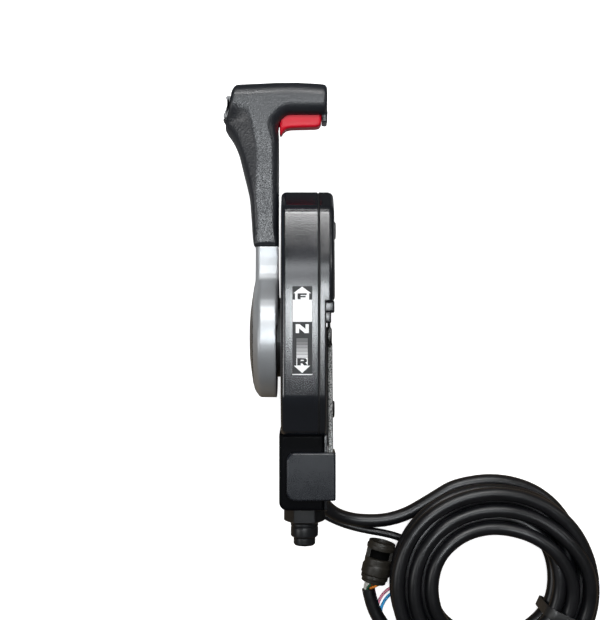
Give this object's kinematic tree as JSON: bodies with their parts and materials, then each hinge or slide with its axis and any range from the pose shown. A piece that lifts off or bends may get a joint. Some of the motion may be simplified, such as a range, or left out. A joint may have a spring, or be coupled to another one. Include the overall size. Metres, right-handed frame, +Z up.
{
  "type": "boat throttle control lever",
  "caption": "Side-mount boat remote control: black box with silver shift and throttle lever, L-shaped grip with trigger and trim switch, fast-idle lever, key switch and coiled harness.",
  "frame": {"origin": "centre of the object's footprint box, cords left out, on the plane that its flat bottom edge stands on", "axes": "+X outboard, out of the mounting face; +Y forward, the way the lever points at full forward; +Z up, the way it points in neutral"},
  "size_m": [0.344, 0.5491, 0.1383],
  "materials": {
    "shell_black": "semi-gloss black with a fine texture",
    "block_black": "satin black moulded plastic",
    "seal_rubber": "matte black",
    "zinc_steel": "bright zinc plate",
    "steel": "machined",
    "strip": "printed strip, black with white marks",
    "disc_black": "satin black",
    "bronze": "sintered bronze",
    "lever_silver": "silver metallic paint over casting",
    "cap_black": "semi-gloss black",
    "grip_black": "pebbled semi-gloss black",
    "trigger_red": "glossy red",
    "rocker_grey": "light grey",
    "gear_plastic": "natural acetal",
    "cord_black": "satin black PVC",
    "wire_pink": "pink PVC",
    "wire_blue": "light blue PVC",
    "wires_mixed": "coloured PVC",
    "connector_black": "matte dark moulded plastic",
    "tie_black": "black nylon",
    "electric": "black moulded"
  },
  "bodies": {
    "root": {"housing": "shell_black", "case_seal": "seal_rubber", "back_cover": "shell_black", "case_screws": "zinc_steel", "gear_decal": "strip", "neutral_lock_plate": "disc_black", "inboard_bushing": "bronze", "outboard_bushing": "bronze", "switch_housing": "block_black", "switch_cover": "block_black", "key_switch_body": "electric", "key_switch_nut": "block_black", "key_switch_ring": "block_black", "harness_boot": "seal_rubber", "lead_boot": "seal_rubber", "cable_clamp": "block_black", "shift_gear_post": "steel", "throttle_arm_post": "steel", "detent_bracket": "gear_plastic", "detent_spring": "steel", "friction_shoe": "gear_plastic", "neutral_switch": "electric", "warning_buzzer": "electric", "neutral_pivot_screw": "zinc_steel", "harness_run": "cord_black", "harness_coil": "cord_black", "harness_tail": "cord_black", "lead_run": "cord_black", "pink_wire": "wire_pink", "blue_wire": "wire_blue", "connector_body": "connector_black", "connector_collar": "connector_black", "connector_wires": "wires_mixed", "cord_tie": "tie_black"},
    "lever": {"lever_arm": "lever_silver", "hub_cap": "cap_black", "hub_washer": "zinc_steel", "hub_bolt": "zinc_steel", "main_shaft": "steel", "drive_gear": "steel", "throttle_cam": "steel", "detent_wheel": "steel", "grip": "grip_black", "trim_bezel": "block_black", "trigger_spring": "steel"},
    "trigger": {"trigger": "trigger_red", "trigger_pin": "steel", "lock_rod": "steel"},
    "trim_rocker": {"trim_rocker": "rocker_grey"},
    "shift_gear": {"shift_gear": "steel", "shift_cable_pin": "steel"},
    "throttle_arm": {"throttle_arm": "zinc_steel", "throttle_roller": "gear_plastic", "throttle_cable_pin": "steel"},
    "neutral_throttle": {"neutral_throttle_arm": "zinc_steel", "neutral_throttle_handle": "block_black", "neutral_throttle_rivets": "zinc_steel"},
    "key": {"key_cylinder": "block_black"},
    "friction_screw": {"friction_screw": "gear_plastic"},
    "detent_plunger": {"detent_plunger": "steel"}
  },
  "joints": [
    {"name": "lever_turn", "type": "hinge", "parent": "root", "child": "lever", "pos_m": [0.01844, -0.0212, 0.072], "axis": [1, 0, 0], "range_deg": [0, 160]},
    {"name": "trigger_lift", "type": "slide", "parent": "lever", "child": "trigger", "axis": [0, 1, 0], "range_m": [0, 0.004], "stiffness_N_per_m": 700, "springref_m": -0.003},
    {"name": "trim_rock", "type": "hinge", "parent": "lever", "child": "trim_rocker", "pos_m": [-0.04456, 0.1803, 0.072], "axis": [0, 0, 1], "range_deg": [-5, 5], "stiffness_Nm_per_rad": 0.5},
    {"name": "shift_gear_turn", "type": "hinge", "parent": "root", "child": "shift_gear", "pos_m": [0.01844, -0.0672, 0.05829], "axis": [1, 0, 0], "range_deg": [-80, 0]},
    {"name": "throttle_arm_turn", "type": "hinge", "parent": "root", "child": "throttle_arm", "pos_m": [0.01844, 0.0248, 0.038], "axis": [1, 0, 0], "range_deg": [0, 35]},
    {"name": "neutral_throttle_lift", "type": "hinge", "parent": "root", "child": "neutral_throttle", "pos_m": [0.01844, -0.0212, 0.072], "axis": [-1, 0, 0], "range_deg": [0, 55]},
    {"name": "key_turn", "type": "hinge", "parent": "root", "child": "key", "pos_m": [0.02234, -0.2012, 0.08], "axis": [0, -1, 0], "range_deg": [0, 90]},
    {"name": "friction_screw_turn", "type": "hinge", "parent": "root", "child": "friction_screw", "pos_m": [0.02944, 0.1068, 0.06], "axis": [0, 1, 0], "range_deg": [-180, 180]},
    {"name": "detent_press", "type": "slide", "parent": "root", "child": "detent_plunger", "axis": [0, 0, -1], "range_m": [0, 0.002], "stiffness_N_per_m": 2000, "springref_m": -0.002, "deforming": ["detent_spring"]}
  ],
  "couplings": [
    {"joint": "shift_gear_turn", "follows": "lever_turn", "ratio": -0.5}
  ]
}
